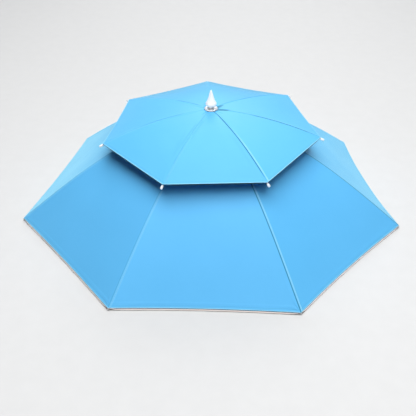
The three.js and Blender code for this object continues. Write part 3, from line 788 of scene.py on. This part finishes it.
# Along a knob, as a share of its length, and the radius there as a share of the rib's.
KNOB = [
    (0.0, 1.0), (0.12, KNOB_BULGE), (0.6, KNOB_BULGE),
    (0.85, 0.8 * KNOB_BULGE), (0.97, 0.45 * KNOB_BULGE), (1.0, 0.15),
]
# A sleeve, in mm: how far from its mouth and the radius there, with a ring moulded round it, and then
# how far back from its closed end and the radius there.
SLEEVE_MOUTH = [
    (0.35, 1.45), (0.0, 1.6), (0.0, 2.0), (0.25, 2.25), (0.8, TIP_RADIUS), (1.2, TIP_RADIUS),
    (1.4, 2.15), (1.7, 2.15), (1.95, TIP_RADIUS),
]
SLEEVE_END = [(3.0, TIP_RADIUS), (1.3, 2.26), (0.7, 2.0), (0.25, 1.45), (0.05, 0.8), (0.0, 0.2)]


def rounded_end(path, radii, radius, length):
    """Adds a small bulged, rounded end to a rod."""
    end, before = np.array(path[-1]), np.array(path[-2])
    direction = (end - before) / np.linalg.norm(end - before)
    for share, size in KNOB:
        path.append(end + direction * length * share)
        radii.append(radius * size)


def long_rib(rib):
    path = []
    for radius in np.linspace(RIB_START, RIM_RADIUS, LONG_RIB_POINTS):
        out, up = under(LOWER, rib, radius, LONG_DEPTH)
        path.append((out, 0.0, up))
    knob = KNOB_SHARE * LONG_RIB_END
    out, up = under(LOWER, rib, RIM_RADIUS, LONG_DEPTH, LONG_RIB_END - knob)
    path.append((out, 0.0, up))
    radii = [LONG_RIB_RADIUS] * len(path)
    rounded_end(path, radii, LONG_RIB_RADIUS, knob)
    rod = tube(f"long_rib_{rib + 1}_rod", path, radii, ROD_SIDES, [steel])
    turned_about_axis(rod, LONG_AZIMUTH + rib * PANEL_ANGLE)
    placed(rod, [f"long_rib_{rib + 1}"])


def short_rib(rib):
    path = []
    for radius in np.linspace(RIB_START, TOP_RADIUS, SHORT_RIB_POINTS):
        out, up = under(UPPER, rib, radius, SHORT_DEPTH)
        path.append((out, 0.0, up))
    out, up = under(UPPER, rib, TOP_RADIUS, SHORT_DEPTH, TIP_SETBACK + TIP_REACH)
    path.append((out, 0.0, up))
    rod = tube(f"short_rib_{rib + 1}_rod", path, [SHORT_RIB_RADIUS] * len(path), ROD_SIDES, [steel])
    turned_about_axis(rod, SHORT_AZIMUTH + rib * PANEL_ANGLE)
    placed(rod, [f"short_rib_{rib + 1}"])


def rib_tip(rib):
    mouth_x, mouth_z = under(UPPER, rib, TOP_RADIUS, SHORT_DEPTH, TIP_SETBACK)
    fall = math.atan(upper_fall(TOP_RADIUS, rib))
    direction = np.array([math.cos(fall), 0.0, -math.sin(fall)])
    mouth = np.array([mouth_x, 0.0, mouth_z])
    profile = SLEEVE_MOUTH + [(TIP_LENGTH - back, size) for back, size in SLEEVE_END]
    path = [mouth + direction * along for along, _ in profile]
    tip = tube(f"rib_tip_{rib + 1}_sleeve", path, [size for _, size in profile], SLEEVE_SIDES, [white])
    turned_about_axis(tip, SHORT_AZIMUTH + rib * PANEL_ANGLE)
    placed(tip, [f"rib_tip_{rib + 1}"])


for rib in range(RIB_COUNT):
    long_rib(rib)
    short_rib(rib)
    rib_tip(rib)


def lathe(name, outline, materials, sides=64):
    """A turned piece from (radius, height) pairs in mm that start and end on the axis."""
    points, faces, rings = [], [], []
    for radius, height in outline:
        if radius < 1e-6:
            rings.append([len(points)])
            points.append((0.0, 0.0, height))
        else:
            rings.append(list(range(len(points), len(points) + sides)))
            for step in range(sides):
                turn = 2 * math.pi * step / sides
                points.append((radius * math.cos(turn), radius * math.sin(turn), height))
    for low, high in zip(rings, rings[1:]):
        for step in range(sides):
            after = (step + 1) % sides
            if len(low) == 1:
                faces.append((low[0], high[after], high[step]))
            elif len(high) == 1:
                faces.append((low[step], low[after], high[0]))
            else:
                faces.append((low[step], low[after], high[after], high[step]))
    return made(name, to_frame(points).tolist(), faces, materials)


def rounded(outline, steps=6, size=0.35):
    """The outline with each inner corner cut by a short curve."""
    outline = [np.array(point, float) for point in outline]
    result = [outline[0]]
    for before, corner, after in zip(outline, outline[1:], outline[2:]):
        reach = min(size, 0.45 * np.linalg.norm(before - corner), 0.45 * np.linalg.norm(after - corner))
        start = corner + (before - corner) / max(np.linalg.norm(before - corner), 1e-9) * reach
        end = corner + (after - corner) / max(np.linalg.norm(after - corner), 1e-9) * reach
        for step in range(steps + 1):
            t = step / steps
            result.append((1 - t) ** 2 * start + 2 * t * (1 - t) * corner + t**2 * end)
    result.append(outline[-1])
    return result


# Radius as a share of the skirt's, height as a share of the finial's.
FINIAL_OUTLINE = [
    (0.74, 0.1), (0.93, 0.155), (1.0, 0.215), (0.94, 0.27), (0.69, 0.39),
    (0.5, 0.56), (0.35, 0.74), (0.2, 0.89), (0.08, 0.98),
]
outline = [
    (0.0, FINIAL_BOTTOM),
    (FINIAL_NECK_RADIUS, FINIAL_BOTTOM),
    (FINIAL_NECK_RADIUS, FINIAL_BOTTOM + FINIAL_OUTLINE[0][1] * FINIAL_HEIGHT),
]
for radius_share, height_share in FINIAL_OUTLINE:
    outline.append((radius_share * FINIAL_SKIRT_RADIUS, FINIAL_BOTTOM + height_share * FINIAL_HEIGHT))
outline.append((0.0, FINIAL_BOTTOM + FINIAL_HEIGHT))
finial = lathe("finial_knob", rounded(outline, 6, 1.6), [white])
placed(finial, ["finial"])

washer_top = WASHER_BOTTOM + WASHER_HEIGHT
washer = lathe(
    "finial_washer_disc",
    rounded([
        (0.0, WASHER_BOTTOM), (WASHER_RADIUS, WASHER_BOTTOM), (WASHER_RADIUS, washer_top - 0.9),
        (WASHER_RADIUS - 1.6, washer_top), (0.0, washer_top),
    ], 5, 0.7),
    [white],
)
placed(washer, ["finial_washer"])

# The solids that no drawn piece replaces keep their own shape, with softened edges.
EDGE_ROUNDING = 0.0003
for node_name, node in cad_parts.items():
    if node.hide_render:
        continue
    if node_name in ("crown_pad", "headband") or node_name.startswith("head_arm"):
        material = black
    elif node_name in ("runner", "top_hub", "lower_hub"):
        material = white
    else:
        material = steel
    for index in range(len(node.material_slots)):
        node.material_slots[index].material = material
    bevel = node.modifiers.new("edge", "BEVEL")
    bevel.width = EDGE_ROUNDING
    bevel.segments = 2
    bevel.limit_method = "ANGLE"
    bevel.angle_limit = math.radians(40)
    node.data.shade_smooth()
    node.modifiers.new("normals", "WEIGHTED_NORMAL").keep_sharp = True

# Floor, light and camera

FLOOR_REACH = 14.0
FLOOR_GAP = 0.0002
floor_mesh = bpy.data.meshes.new("floor")
floor_z = cad_box[0].z - FLOOR_GAP
corners = [(-1, -1), (1, -1), (1, 1), (-1, 1)]
floor_points = [(x * FLOOR_REACH, y * FLOOR_REACH, floor_z) for x, y in corners]
floor_mesh.from_pydata(floor_points, [], [(0, 1, 2, 3)])
floor = bpy.data.objects.new("floor", floor_mesh)
bpy.context.scene.collection.objects.link(floor)
floor_paint = moulded_material(
    "floor_paint", (0.47, 0.473, 0.477), (0.50, 0.503, 0.507), 0.75, 0.9, skin_scale=30.0, relief=0.03
)
floor_mesh.materials.append(floor_paint)


def area_light(name, location, target, size, power, colour):
    light = bpy.data.lights.new(name, "AREA")
    light.shape = "DISK"
    light.size = size
    light.energy = power
    light.color = colour
    lamp = bpy.data.objects.new(name, light)
    lamp.location = location
    lamp.rotation_mode = "QUATERNION"
    lamp.rotation_quaternion = (Vector(target) - Vector(location)).to_track_quat("-Z", "Y")
    bpy.context.scene.collection.objects.link(lamp)
    return lamp


area_light("overhead", (0.06, -0.24, 2.4), (0, 0, 0), 2.6, 99, (1.0, 0.99, 0.98))
area_light("front_fill", (0.6, -1.6, 2.05), (0, 0, 0), 1.3, 27, (1.0, 0.99, 0.98))
area_light("back_rim", (0.1, 2.4, 1.6), (0, 0, 0.05), 1.4, 40, (1.0, 1.0, 1.0))

world = bpy.data.worlds.new("studio")
world.use_nodes = True
world.node_tree.nodes["Background"].inputs["Color"].default_value = (0.72, 0.88, 1.0, 1.0)
world.node_tree.nodes["Background"].inputs["Strength"].default_value = 0.075
bpy.context.scene.world = world
bpy.context.scene.view_settings.view_transform = "Standard"

# The camera's place and aim come from the photograph's own perspective.
HEADING = math.radians(-2.4237)
PITCH = math.radians(34.8384)
ROLL = math.radians(-0.2795)
LENS = 67.45
CAMERA_PLACE = (0.05014, -1.34801, 0.91281)  # above the rim plane
forward = Vector((
    math.sin(HEADING) * math.cos(PITCH),
    math.cos(HEADING) * math.cos(PITCH),
    -math.sin(PITCH),
))
level = Vector((math.cos(HEADING), -math.sin(HEADING), 0.0))
upright = level.cross(forward)
right = math.cos(ROLL) * level + math.sin(ROLL) * upright
up = -math.sin(ROLL) * level + math.cos(ROLL) * upright
camera_data = bpy.data.cameras.new("camera")
camera_data.sensor_width = 36.0
camera_data.lens = LENS
camera_data.dof.use_dof = False
camera = bpy.data.objects.new("camera", camera_data)
camera.rotation_mode = "QUATERNION"
camera.rotation_quaternion = Matrix((right, up, -forward)).transposed().to_quaternion()
camera.location = Vector(CAMERA_PLACE) - Vector((0.0, 0.0, ORIGIN_HEIGHT * MM))
bpy.context.scene.collection.objects.link(camera)
bpy.context.scene.camera = camera

bpy.context.view_layer.update()
